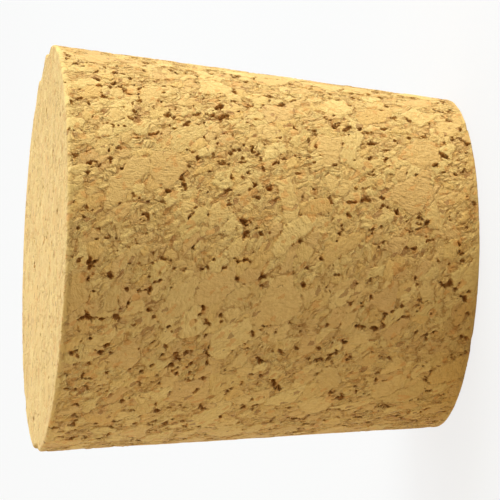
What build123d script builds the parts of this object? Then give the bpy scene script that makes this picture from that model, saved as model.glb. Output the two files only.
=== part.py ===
"""Tapered cork stopper, one solid piece of bonded cork granules, standing on its small end.

Millimetres, +Z up along the axis towards the large end, origin at the centre of the small end.
"""

import os
from math import cos, radians, sin

from build123d import *

# Driving dimensions.
large_diameter = 38.0
small_diameter = 31.2
length = 38.0
large_rim_round = 0.35  # the ground edges are only just broken
small_rim_round = 0.25

# Crumbs lost from the rims. Each is the bearing round the axis from +X and the lean of the bite
# from the radius towards the axis, in degrees, then how far it bites into the square corner, and
# the radius of the hollow that it leaves.
large_rim_chips = [
    (8, 30, 0.65, 5.0),
    (24, 32, 0.90, 5.5),
    (41, 35, 0.60, 4.0),
    (56, 40, 0.32, 2.5),
    (97, 45, 0.38, 1.8),
    (143, 40, 0.42, 3.0),
    (180, 23, 0.65, 6.5),
    (231, 45, 0.34, 1.5),
    (294, 45, 0.36, 1.7),
]
small_rim_chips = [
    (66, 45, 0.28, 1.6),
    (158, 45, 0.32, 2.2),
    (243, 45, 0.36, 1.8),
    (325, 45, 0.26, 1.4),
]

# Worked out from the dimensions.
large_radius = large_diameter / 2
small_radius = small_diameter / 2


def chip_centres(chips, rim_radius, rim_height, outward):
    """Gives each hollow's centre and radius. It lies outside the corner, short by its bite."""
    for bearing, lean, bite, hollow_radius in chips:
        reach = hollow_radius - bite
        out = rim_radius + reach * cos(radians(lean))
        up = rim_height + outward * reach * sin(radians(lean))
        yield (out * cos(radians(bearing)), out * sin(radians(bearing)), up), hollow_radius


with BuildPart() as cork_stopper:
    # Half of the section, with both rims rounded, turned once round the axis.
    with BuildSketch(Plane.XZ) as half_section:
        with BuildLine() as outline:
            Polyline(
                (0, 0),
                (small_radius, 0),
                (large_radius, length),
                (0, length),
                close=True,
            )
        make_face()
        small_rim = half_section.vertices().group_by(Axis.Y)[0].sort_by(Axis.X)[-1]
        fillet(small_rim, small_rim_round)
        large_rim = half_section.vertices().group_by(Axis.Y)[-1].sort_by(Axis.X)[-1]
        fillet(large_rim, large_rim_round)
    revolve(axis=Axis.Z)

    # The crumbs that have broken away from each rim.
    for centre, hollow_radius in chip_centres(large_rim_chips, large_radius, length, 1):
        with Locations(centre):
            Sphere(hollow_radius, mode=Mode.SUBTRACT)
    for centre, hollow_radius in chip_centres(small_rim_chips, small_radius, 0, -1):
        with Locations(centre):
            Sphere(hollow_radius, mode=Mode.SUBTRACT)

cork_stopper.part.label = "cork_stopper"

os.makedirs("parts", exist_ok=True)
export_step(cork_stopper.part, "parts/cork_stopper.step")
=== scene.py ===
"""Tapered cork stopper of bonded granules: the ground blank, its sunken borders and hollows, and its finish."""

from math import cos, pi, radians, sin

import bpy
import numpy as np
from mathutils import Matrix, Vector


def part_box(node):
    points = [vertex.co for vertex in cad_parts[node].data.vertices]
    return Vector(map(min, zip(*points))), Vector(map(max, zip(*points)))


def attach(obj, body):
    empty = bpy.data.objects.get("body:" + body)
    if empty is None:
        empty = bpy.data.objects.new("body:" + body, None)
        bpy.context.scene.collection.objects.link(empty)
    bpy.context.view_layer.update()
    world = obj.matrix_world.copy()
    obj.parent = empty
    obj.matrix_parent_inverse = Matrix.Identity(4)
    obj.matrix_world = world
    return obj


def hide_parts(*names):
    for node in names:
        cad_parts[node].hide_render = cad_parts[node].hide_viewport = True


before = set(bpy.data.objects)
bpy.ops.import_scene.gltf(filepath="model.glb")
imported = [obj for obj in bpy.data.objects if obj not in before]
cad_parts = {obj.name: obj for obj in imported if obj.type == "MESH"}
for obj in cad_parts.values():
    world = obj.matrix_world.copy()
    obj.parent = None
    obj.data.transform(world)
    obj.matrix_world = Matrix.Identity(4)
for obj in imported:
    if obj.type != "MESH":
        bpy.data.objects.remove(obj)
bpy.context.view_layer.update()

MM = 0.001

# The stopper, in metres.
STOPPER = "cork_stopper"
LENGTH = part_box(STOPPER)[1].z
LARGE_RADIUS = 19.0 * MM
SMALL_RADIUS = 15.6 * MM
LARGE_ROUND = 0.35 * MM
SMALL_ROUND = 0.25 * MM

# Crumbs lost from the rims: bearing and lean in degrees, bite and hollow's radius in millimetres.
LARGE_RIM_CHIPS = [
    (8, 30, 0.65, 5.0),
    (24, 32, 0.90, 5.5),
    (41, 35, 0.60, 4.0),
    (56, 40, 0.32, 2.5),
    (97, 45, 0.38, 1.8),
    (143, 40, 0.42, 3.0),
    (180, 23, 0.65, 6.5),
    (231, 45, 0.34, 1.5),
    (294, 45, 0.36, 1.7),
]
SMALL_RIM_CHIPS = [
    (66, 45, 0.28, 1.6),
    (158, 45, 0.32, 2.2),
    (243, 45, 0.36, 1.8),
    (325, 45, 0.26, 1.4),
]

# The mesh.
SIDES = 512
ROUND_STEPS = 6
VOXEL = 0.135 * MM
MOST_TRIANGLES = 197_000

# The UV map, in millimetres: its square's side, and the radius at which the side is unrolled.
SHEET = 99
STRIP_TURN = 18

# The granules, in millimetres.
CHUNK = 2.2
GRANULE = 1.15
CRUMB = 0.62
SCRAP = 0.36
GRAIN = (0.5**0.5, 0, -(0.5**0.5))  # the way the granules were pressed long
STRETCH = 2.0

# Softboxes: the way each lies from the stopper, how much it lights what faces it, and its tint.
LAMP_DISTANCE = 0.7
LAMP_SIZE = 0.5
WHITE = (1, 1, 1)
LAMPS = [
    ("key", (0.95, 0.2, 0.4), 0.80, (0.8, 0.9, 1)),
    ("warm side", (0.97, -0.24, 0), 0.85, (1, 0.98, 0.65)),
    ("overhead", (0, 0, 1), 0.14, WHITE),
    ("over the back", (0.3, 0.4, 1), 0.52, (0.7, 0.85, 1)),
    ("low bounce", (-1, 0, 0), 0.40, (1, 0.8, 0.3)),
    ("back fill", (-0.26, 0.97, 0), 0.25, WHITE),
]
ROOM_LIGHT = 0.26
ROOM_TINT = (1, 0.8, 0.5)


class Value:
    """An output socket. Arithmetic on it adds Math nodes to its net."""

    def __init__(self, net, socket):
        self.net, self.socket = net, socket

    def other(self, name):
        return Value(self.net, self.socket.node.outputs[name])

    def __add__(self, other):
        return self.net.maths("ADD", self, other)

    def __radd__(self, other):
        return self.net.maths("ADD", other, self)

    def __sub__(self, other):
        return self.net.maths("SUBTRACT", self, other)

    def __rsub__(self, other):
        return self.net.maths("SUBTRACT", other, self)

    def __mul__(self, other):
        return self.net.maths("MULTIPLY", self, other)

    def __rmul__(self, other):
        return self.net.maths("MULTIPLY", other, self)

    def __truediv__(self, other):
        return self.net.maths("DIVIDE", self, other)

    def __lt__(self, other):
        return self.net.maths("LESS_THAN", self, other)

    def __gt__(self, other):
        return self.net.maths("GREATER_THAN", self, other)


class Net:
    """Adds nodes to a node tree, whether it shapes a mesh or shades one."""

    def __init__(self, tree):
        self.tree = tree

    def add(self, kind, settings, sockets, output=0):
        node = self.tree.nodes.new(kind)
        for name, value in settings.items():
            if name == "stops":
                ramp = node.color_ramp
                while len(ramp.elements) < len(value):
                    ramp.elements.new(1)
                for stop, (place, colour) in zip(ramp.elements, value):
                    stop.position, stop.color = place, (*colour, 1)
            else:
                setattr(node, name, value)
        for name, value in sockets.items():
            if isinstance(value, Value):
                self.tree.links.new(value.socket, node.inputs[name])
            else:
                node.inputs[name].default_value = value
        return Value(self, node.outputs[output])

    def maths(self, operation, *values):
        return self.add("ShaderNodeMath", {"operation": operation}, dict(enumerate(values)))

    def vector(self, operation, *values, output=0):
        return self.add("ShaderNodeVectorMath", {"operation": operation}, dict(enumerate(values)), output)

    def scaled(self, vector, factor):
        return self.add("ShaderNodeVectorMath", {"operation": "SCALE"}, {0: vector, "Scale": factor})

    def least(self, first, *rest):
        for value in rest:
            first = self.maths("MINIMUM", first, value)
        return first

    def most(self, first, *rest):
        for value in rest:
            first = self.maths("MAXIMUM", first, value)
        return first

    def step(self, value, low, high):
        """0 up to low and 1 from high, with a smooth rise between them."""
        sockets = {"Value": value, "From Min": low, "From Max": high}
        return self.add("ShaderNodeMapRange", {"interpolation_type": "SMOOTHSTEP"}, sockets)

    def noise(self, place, size, detail=1.0, roughness=0.5):
        """Cloudy noise about 0.5, whose clouds are about this size."""
        sockets = {"Vector": place, "Scale": 1 / size, "Detail": detail, "Roughness": roughness}
        return self.add("ShaderNodeTexNoise", {}, sockets, "Fac")

    def warped(self, place, size, reach, detail):
        """The place, pushed about by noise whose clouds are about this size."""
        push = self.noise(place, size, detail, 0.6).other("Color")
        return self.vector("MULTIPLY_ADD", push, (reach, reach, reach), place)

    def cells(self, place, size):
        """Random cells: three random numbers for each, and the distance to its border."""
        sockets = {"Vector": place, "Scale": 1 / size}
        inside = self.add("ShaderNodeTexVoronoi", {"feature": "F1"}, sockets, "Color")
        border = self.add("ShaderNodeTexVoronoi", {"feature": "DISTANCE_TO_EDGE"}, sockets)
        return self.split(inside), border * size

    def joined(self, x, y, z):
        return self.add("ShaderNodeCombineXYZ", {}, {0: x, 1: y, 2: z})

    def split(self, vector):
        parts = self.add("ShaderNodeSeparateXYZ", {}, {0: vector})
        return parts, parts.other("Y"), parts.other("Z")

    def mix(self, factor, a, b):
        return self.add("ShaderNodeMix", {"data_type": "RGBA"}, {0: factor, 6: a, 7: b}, 2)


def bonded_granules(net, place):
    """The pattern of the granules at a place in millimetres.

    Some chunks are whole and the others are broken into granules, and some of those into crumbs.
    """
    swirled = net.warped(place, 2.6, 1.1, 1)
    bent = net.warped(swirled, 0.6, 0.55, 3)
    along = net.vector("DOT_PRODUCT", bent, GRAIN, output="Value")
    pressed = net.vector("SUBTRACT", bent, net.scaled(GRAIN, along * (1 - 1 / STRETCH)))
    chunk, chunk_border = net.cells(pressed, CHUNK)
    granule, granule_border = net.cells(pressed, GRANULE)
    crumb, crumb_border = net.cells(pressed, CRUMB)
    whole_chunk = chunk[0] < 0.24
    whole_granule = net.most(whole_chunk, granule[0] < 0.5)
    border = net.least(chunk_border, granule_border + whole_chunk * 9, crumb_border + whole_granule * 9)
    turn, tone, kind = [
        whole_chunk * chunk[i] + (1 - whole_chunk) * (
            whole_granule * granule[i] + (1 - whole_granule) * crumb[i])
        for i in range(3)
    ]
    # The ends were ground finer than the side.
    height = net.split(place)[2]
    end = 1 - net.step(net.least(height, LENGTH / MM - height), 0.2, 0.7)
    # Borders open where crumbs have come away.
    loose = net.step(net.noise(place, 3.2, 1), 0.42, 0.62)
    opened = net.step(net.noise(place, 0.8, 2) + 0.05 * loose - 0.08 * end, 0.59, 0.80)
    gap = 1 - net.step(border / (0.05 + 0.14 * opened), 0.3, 1.0)
    # The layers that each granule grew in lie across this direction.
    layers = net.joined(net.maths("FRACT", turn * 17), tone, kind)
    facing = net.vector("NORMALIZE", net.vector("SUBTRACT", layers, (0.2, 0.5, 0.2)))
    return {
        "swirled": swirled,
        "pressed": pressed,
        "facing": facing,
        "border": border,
        "turn": turn,
        "tone": tone,
        "kind": kind,
        "end": end,
        "crumbly": 1 - whole_granule,
        "loose": loose,
        "opened": opened,
        "gap": gap * net.step(opened, 0.0, 0.3),
    }


def rim_chips(chips, radius, height, outward):
    """Gives the centre and radius of each hollow that a lost crumb leaves."""
    for bearing, lean, bite, hollow in chips:
        reach = (hollow - bite) * MM
        out = radius + reach * cos(radians(lean))
        up = height + outward * reach * sin(radians(lean))
        yield (out * cos(radians(bearing)), out * sin(radians(bearing)), up), hollow * MM


def apply_modifier(piece, kind, **settings):
    modifier = piece.modifiers.new(kind.lower(), kind)
    for name, value in settings.items():
        setattr(modifier, name, value)
    bpy.context.view_layer.objects.active = piece
    bpy.ops.object.modifier_apply(modifier=modifier.name)


def round_rim(piece, height, width):
    """Rounds the rim at this height."""
    bpy.ops.object.mode_set(mode="EDIT")
    bpy.ops.mesh.select_mode(type="EDGE")
    bpy.ops.mesh.select_all(action="DESELECT")
    bpy.ops.object.mode_set(mode="OBJECT")
    mesh = piece.data
    for edge in mesh.edges:
        edge.select = all(abs(mesh.vertices[i].co.z - height) < 0.001 * MM for i in edge.vertices)
    bpy.ops.object.mode_set(mode="EDIT")
    bpy.ops.mesh.bevel(offset=width, offset_type="OFFSET", segments=ROUND_STEPS, affect="EDGES")
    bpy.ops.object.mode_set(mode="OBJECT")


def ground_blank():
    """The tapered blank with rounded rims, less the crumbs lost from them."""
    bpy.ops.object.select_all(action="DESELECT")
    bpy.ops.mesh.primitive_cone_add(
        vertices=SIDES, radius1=SMALL_RADIUS, radius2=LARGE_RADIUS, depth=LENGTH, location=(0, 0, LENGTH / 2)
    )
    blank = bpy.context.object
    blank.name = "stopper"
    bpy.ops.object.transform_apply(location=True)
    round_rim(blank, 0, SMALL_ROUND)
    round_rim(blank, LENGTH, LARGE_ROUND)
    chips = [
        *rim_chips(LARGE_RIM_CHIPS, LARGE_RADIUS, LENGTH, 1),
        *rim_chips(SMALL_RIM_CHIPS, SMALL_RADIUS, 0, -1),
    ]
    for centre, radius in chips:
        bpy.ops.object.select_all(action="DESELECT")
        bpy.ops.mesh.primitive_uv_sphere_add(segments=64, ring_count=32, radius=radius, location=centre)
        crumb = bpy.context.object
        apply_modifier(blank, "BOOLEAN", operation="DIFFERENCE", object=crumb, solver="EXACT")
        bpy.data.objects.remove(crumb)
    return blank


def relief_tree():
    """Sinks the borders, gaps and tilted tops of the granules into the surface."""
    tree = bpy.data.node_groups.new("granule relief", "GeometryNodeTree")
    tree.interface.new_socket("Geometry", in_out="INPUT", socket_type="NodeSocketGeometry")
    tree.interface.new_socket("Geometry", in_out="OUTPUT", socket_type="NodeSocketGeometry")
    net = Net(tree)
    surface = net.add("NodeGroupInput", {}, {})
    position = net.add("GeometryNodeInputPosition", {}, {})
    place = net.scaled(position, 1 / MM)
    granules = bonded_granules(net, place)
    bevel = 1 - net.step(granules["border"], 0.0, 0.22)
    sunk_border = bevel * (0.02 + 0.06 * granules["crumbly"]) * (1 - 0.7 * granules["end"])
    tilt = 0.07 * granules["tone"] * (1 - 0.7 * granules["end"])
    depth = net.most(granules["gap"] * (0.1 + 0.45 * granules["opened"]), sunk_border) + tilt
    normal = net.add("GeometryNodeInputNormal", {}, {})
    kept = net.add(
        "GeometryNodeStoreNamedAttribute",
        {"data_type": "FLOAT_VECTOR", "domain": "POINT"},
        {"Geometry": surface, "Name": "rest", "Value": position},
    )
    sunk = net.add(
        "GeometryNodeSetPosition", {}, {"Geometry": kept, "Offset": net.scaled(normal, depth * -MM)}
    )
    tree.links.new(sunk.socket, tree.nodes.new("NodeGroupOutput").inputs[0])
    return tree


def lay_out(piece):
    """The UV map: the side in two half strips and the ends as discs, to one scale in one square."""
    mesh = piece.data
    rest = np.empty(len(mesh.vertices) * 3, np.float32)
    mesh.attributes["rest"].data.foreach_get("vector", rest)
    corners = np.empty(len(mesh.loops), np.int32)
    mesh.loops.foreach_get("vertex_index", corners)
    x, y, z = np.moveaxis(rest.reshape(-1, 3)[corners].reshape(-1, 3, 3) / MM, 2, 0)
    length, small, large = LENGTH / MM, SMALL_RADIUS / MM, LARGE_RADIUS / MM
    inward = small + (large - small) * z / length - np.hypot(x, y)
    top = z > length / 2
    # On the side, u follows the bearing and v runs up it and round the rims.
    back = y.mean(axis=1, keepdims=True) > 0
    bearing = np.arctan2(y, x)
    turned = (bearing - np.where(back, pi / 2, -pi / 2) + pi) % (2 * pi) - pi
    u = STRIP_TURN * (turned + pi / 2) + 2
    v = z + np.where(top, inward, -inward) + np.where(back, 44, 2)
    # On the ends they follow x and y.
    on_end = (inward > 1.2).all(axis=1, keepdims=True) & (np.abs(z - length / 2) > length / 2 - 1).all(
        axis=1, keepdims=True)
    u = np.where(on_end, np.where(top, x, -x) + 79, u)
    v = np.where(on_end, y + np.where(top, 20, 60), v)
    layout = mesh.uv_layers.new(name="OFBake")
    layout.data.foreach_set("uv", (np.stack([u, v], axis=2) / SHEET).ravel())


def stopper():
    blank = ground_blank()
    apply_modifier(blank, "REMESH", mode="VOXEL", voxel_size=VOXEL)
    apply_modifier(blank, "NODES", node_group=relief_tree())
    triangles = sum(len(p.vertices) - 2 for p in blank.data.polygons)
    apply_modifier(blank, "DECIMATE", ratio=MOST_TRIANGLES / triangles, use_collapse_triangulate=True)
    lay_out(blank)
    bpy.ops.object.shade_smooth()
    return blank


def srgb(*levels):
    return tuple((c / 255 / 12.92) if c <= 10 else ((c / 255 + 0.055) / 1.055) ** 2.4 for c in levels)


def cork():
    """Ground cork: straw and tan granules, lamella lines, dark gaps that are partly dark bark and partly
    painted shade, and brown hairlines.
    """
    material = bpy.data.materials.new("cork")
    material.use_nodes = True
    tree = material.node_tree
    tree.nodes.clear()
    net = Net(tree)
    rest = net.add("ShaderNodeAttribute", {"attribute_name": "rest"}, {}, "Vector")
    place = net.scaled(rest, 1 / MM)
    granules = bonded_granules(net, place)
    end = granules["end"]
    tops = net.add(
        "ShaderNodeValToRGB",
        {
            "stops": [
                (0.0, srgb(236, 192, 122)),
                (0.25, srgb(246, 206, 130)),
                (0.5, srgb(250, 214, 138)),
                (0.75, srgb(240, 204, 128)),
                (1.0, srgb(244, 198, 118)),
            ]
        },
        {0: granules["kind"]},
        "Color",
    )
    tops = net.mix(end * 0.4, tops, srgb(242, 207, 132) + (1,))
    # Fine layers, seen on edge as streaks, and in some granules as a group of dark lines.
    swirled, facing = granules["swirled"], granules["facing"]
    level = net.vector("DOT_PRODUCT", swirled, facing, output="Value")
    layered = net.vector("MULTIPLY_ADD", swirled, (0.22, 0.22, 0.22), net.scaled(facing, level * 0.78))
    streaks = net.noise(layered, 0.17, 2, 0.6)
    mottle = net.noise(place, 0.42, 3, 0.65)
    calm = 1 - 0.6 * end
    tops = net.mix(net.step(streaks, 0.42, 0.70) * calm * 0.32, tops, srgb(206, 154, 78) + (1,))
    tops = net.mix(net.step(mottle, 0.48, 0.72) * calm * 0.26, tops, srgb(208, 154, 76) + (1,))
    tops = net.mix(net.step(granules["tone"], 0.3, 1.0) * calm * 0.30, tops, srgb(214, 160, 92) + (1,))
    wave = net.maths("SINE", (level + net.noise(place, 1.5, 1) * 0.25) * (2 * pi / 0.28))
    lined = (granules["turn"] > 0.60) * net.step(net.noise(place, 1.4, 1), 0.46, 0.58)
    lines = net.step(wave, 0.1, 0.9) * lined * (1 - granules["crumbly"]) * calm
    tops = net.mix(lines * 0.38, tops, srgb(150, 108, 54) + (1,))
    # Torn scraps, each with its own height, and a few of them brown or orange.
    scrap, scrap_border = net.cells(granules["pressed"], SCRAP)
    torn = (0.25 + 0.75 * granules["crumbly"]) * calm
    tops = net.mix((scrap[0] < 0.02) * 0.6, tops, srgb(158, 98, 48) + (1,))
    tops = net.mix((scrap[0] > 0.93) * 0.6, tops, srgb(230, 164, 88) + (1,))
    tops = net.mix(scrap[1] * torn * 0.22, tops, srgb(196, 142, 72) + (1,))
    # Hairlines along borders that stayed closed.
    hair = (1 - net.step(granules["border"], 0.0, 0.10)) * net.step(net.noise(place, 0.6, 2), 0.46, 0.62)
    colour = net.mix(hair * calm * 0.6, tops, srgb(176, 114, 42) + (1,))
    warm = (1 - net.step(granules["border"], 0.0, 0.4)) * net.step(granules["opened"], 0, 0.6)
    colour = net.mix(warm * 0.5, colour, srgb(232, 164, 72) + (1,))
    # Dark brown in the gaps: partly the dark bark that lines them, partly painted shade, stronger where the
    # gaps open wider and sink deeper.
    colour = net.mix(granules["gap"] * (0.3 + 0.5 * granules["opened"]), colour, srgb(146, 86, 14) + (1,))
    height = (
        streaks * 0.16 * calm + mottle * 0.28 * calm - hair * 0.05 - lines * 0.02
        + scrap[2] * torn * 0.13 + net.step(scrap_border, 0.0, 0.12) * torn * 0.03
        + granules["tone"] * 0.10 * calm - granules["gap"] * 0.10
        + net.step(granules["border"], 0.0, 0.2) * (0.04 + 0.05 * granules["crumbly"]) * calm
    )
    normal = net.add("ShaderNodeBump", {}, {"Strength": 1, "Distance": MM, "Height": height})
    shader = net.add(
        "ShaderNodeBsdfPrincipled",
        {},
        {"Base Color": colour, "Roughness": 0.75, "Normal": normal, "Specular IOR Level": 0.4},
    )
    tree.links.new(shader.socket, tree.nodes.new("ShaderNodeOutputMaterial").inputs["Surface"])
    return material


def camera():
    """Looks a little down on the large end from a camera turned on its side, so that the axis runs across."""
    elevation, roll = radians(9.73), radians(2.2)
    distance = 300 * MM
    back = Vector((0, -cos(elevation), sin(elevation)))
    rise = Vector((0, sin(elevation), cos(elevation)))
    across = Vector((1, 0, 0))
    right = -cos(roll) * rise + sin(roll) * across
    up = sin(roll) * rise + cos(roll) * across
    target = Vector((0, 0, LENGTH / 2)) + right * 0.57 * MM + up * 0.55 * MM
    data = bpy.data.cameras.new("camera")
    data.sensor_width, data.lens = 36, 229.3
    data.clip_start, data.clip_end = 0.01, 10
    holder = bpy.data.objects.new("camera", data)
    turn = Matrix((right, up, back)).transposed().to_4x4()
    holder.matrix_world = Matrix.Translation(target + back * distance) @ turn
    bpy.context.collection.objects.link(holder)
    bpy.context.scene.camera = holder


def softbox(name, way, light, tint):
    """A square lamp that faces the stopper from this way, and lights what faces it this much."""
    middle = Vector((0, 0, LENGTH / 2))
    data = bpy.data.lights.new(name, "AREA")
    data.shape, data.size = "SQUARE", LAMP_SIZE
    data.energy = (pi * LAMP_DISTANCE) ** 2 * light
    data.color = tint
    lamp = bpy.data.objects.new(name, data)
    lamp.location = middle + Vector(way).normalized() * LAMP_DISTANCE
    lamp.rotation_euler = (middle - lamp.location).to_track_quat("-Z", "Y").to_euler()
    bpy.context.collection.objects.link(lamp)


def studio():
    world = bpy.data.worlds.new("studio")
    world.use_nodes = True
    bpy.context.scene.world = world
    tree = world.node_tree
    tree.nodes.clear()
    net = Net(tree)
    path = net.add("ShaderNodeLightPath", {}, {}, "Is Camera Ray")
    seen = net.most(path, path.other("Is Glossy Ray"), path.other("Is Transmission Ray"))
    room = net.add("ShaderNodeBackground", {}, {"Color": (*ROOM_TINT, 1), "Strength": ROOM_LIGHT})
    white = net.add("ShaderNodeBackground", {}, {"Color": (1, 1, 1, 1), "Strength": 1})
    both = net.add("ShaderNodeMixShader", {}, {0: seen, 1: room, 2: white})
    tree.links.new(both.socket, tree.nodes.new("ShaderNodeOutputWorld").inputs["Surface"])

    bpy.ops.object.select_all(action="DESELECT")
    bpy.ops.mesh.primitive_plane_add(size=6)
    floor = bpy.context.object
    floor.name = "floor"
    material = bpy.data.materials.new("floor")
    material.use_nodes = True
    tree = material.node_tree
    tree.nodes.clear()
    net = Net(tree)
    path = net.add("ShaderNodeLightPath", {}, {}, "Is Camera Ray")
    seen = net.most(path, path.other("Is Glossy Ray"), path.other("Is Transmission Ray"))
    matt = net.add("ShaderNodeBsdfDiffuse", {}, {"Color": (0.8, 0.8, 0.8, 1)})
    white = net.add("ShaderNodeEmission", {}, {"Color": (1, 1, 1, 1), "Strength": 1})
    both = net.add("ShaderNodeMixShader", {}, {0: seen * 0.8, 1: matt, 2: white})
    tree.links.new(both.socket, tree.nodes.new("ShaderNodeOutputMaterial").inputs["Surface"])
    floor.data.materials.append(material)

    for lamp in LAMPS:
        softbox(*lamp)


piece = stopper()
piece.data.materials.clear()
piece.data.materials.append(cork())
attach(piece, "root")
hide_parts(STOPPER)
camera()
studio()
bpy.context.scene.view_settings.view_transform = "Standard"
